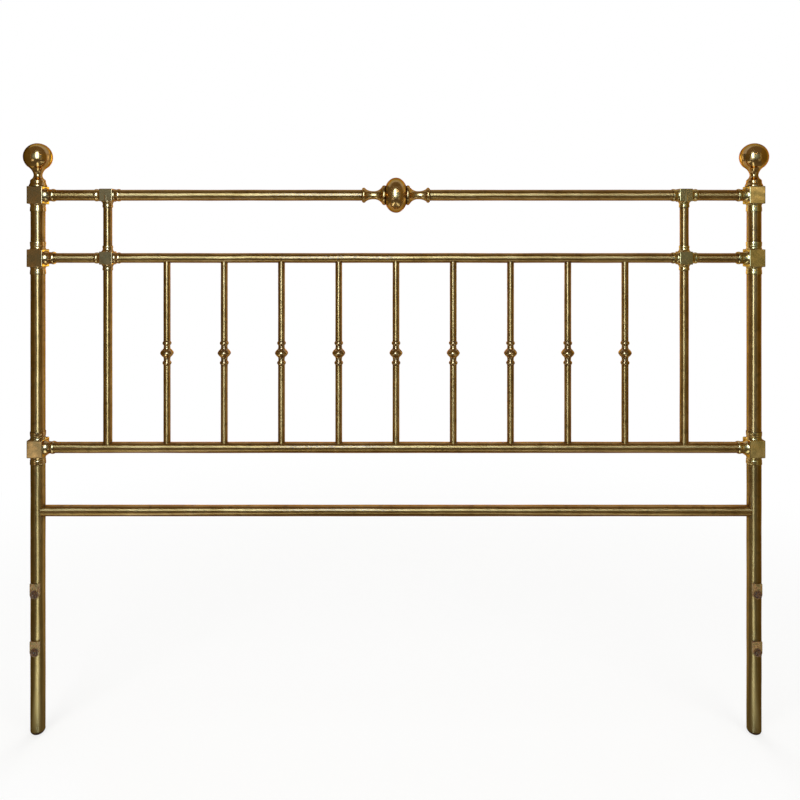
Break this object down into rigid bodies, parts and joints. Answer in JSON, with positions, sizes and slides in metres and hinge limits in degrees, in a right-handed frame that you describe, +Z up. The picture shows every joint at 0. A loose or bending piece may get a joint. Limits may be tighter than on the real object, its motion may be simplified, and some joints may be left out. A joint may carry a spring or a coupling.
{
  "type": "brass headboard",
  "caption": "Wide headboard of brass tube: two posts with ball finials, horizontal rails with cast corners, a row of spindles with turned knops and a turned ornament in the top rail.",
  "frame": {"origin": "on the floor, midway between the posts and on their plane", "axes": "+Z up, +X to the right as seen from the bed's side, -Y the side that faces the bed"},
  "size_m": [1.896, 0.0896, 1.5024],
  "materials": {
    "tube_brass": "lacquered and polished tube, mellowed",
    "leg_brass": "tube, duller and more tarnished near the floor",
    "cast_brass": "cast, turned and polished, dark in the grooves",
    "spun_brass": "turned and polished",
    "saddle_brass": "pitted, rust-stained",
    "rusty_steel": "rusted",
    "steel": "plain threaded rod",
    "foot": "dark, tarnished, domed"
  },
  "bodies": {
    "headboard": {"left_foot_glide": "foot", "left_post_lower_tube": "leg_brass", "left_post_middle_tube": "tube_brass", "left_post_upper_tube": "tube_brass", "left_lower_corner_block": "cast_brass", "left_middle_corner_block": "cast_brass", "left_top_corner_block": "cast_brass", "left_tie_rod_anchor": "steel", "left_tie_rod": "steel", "left_tee_block": "cast_brass", "left_cross_block": "cast_brass", "left_stile_lower_tube": "tube_brass", "left_stile_upper_tube": "tube_brass", "right_foot_glide": "foot", "right_post_lower_tube": "leg_brass", "right_post_middle_tube": "tube_brass", "right_post_upper_tube": "tube_brass", "right_lower_corner_block": "cast_brass", "right_middle_corner_block": "cast_brass", "right_top_corner_block": "cast_brass", "right_tie_rod_anchor": "steel", "right_tie_rod": "steel", "right_tee_block": "cast_brass", "right_cross_block": "cast_brass", "right_stile_lower_tube": "tube_brass", "right_stile_upper_tube": "tube_brass", "top_rail_left_end": "tube_brass", "top_rail_left_span": "tube_brass", "top_rail_right_span": "tube_brass", "top_rail_right_end": "tube_brass", "second_rail_left_end": "tube_brass", "second_rail_span": "tube_brass", "second_rail_right_end": "tube_brass", "lower_rail": "tube_brass", "base_rail": "tube_brass", "centre_ornament": "spun_brass", "spindle_1_tubes": "tube_brass", "spindle_1_knop": "spun_brass", "spindle_2_tubes": "tube_brass", "spindle_2_knop": "spun_brass", "spindle_3_tubes": "tube_brass", "spindle_3_knop": "spun_brass", "spindle_4_tubes": "tube_brass", "spindle_4_knop": "spun_brass", "spindle_5_tubes": "tube_brass", "spindle_5_knop": "spun_brass", "spindle_6_tubes": "tube_brass", "spindle_6_knop": "spun_brass", "spindle_7_tubes": "tube_brass", "spindle_7_knop": "spun_brass", "spindle_8_tubes": "tube_brass", "spindle_8_knop": "spun_brass", "spindle_9_tubes": "tube_brass", "spindle_9_knop": "spun_brass", "frame_bolt_saddles": "saddle_brass", "frame_bolts": "rusty_steel", "frame_bolt_washers": "rusty_steel", "frame_bolt_nuts": "rusty_steel"},
    "left_finial": {"left_ball_finial": "spun_brass"},
    "right_finial": {"right_ball_finial": "spun_brass"}
  },
  "joints": [
    {"name": "left_finial_turn", "type": "hinge", "parent": "headboard", "child": "left_finial", "pos_m": [-0.913, 0, 1.3926], "axis": [0, 0, 1], "continuous": true},
    {"name": "right_finial_turn", "type": "hinge", "parent": "headboard", "child": "right_finial", "pos_m": [0.913, 0, 1.3926], "axis": [0, 0, 1], "continuous": true}
  ]
}
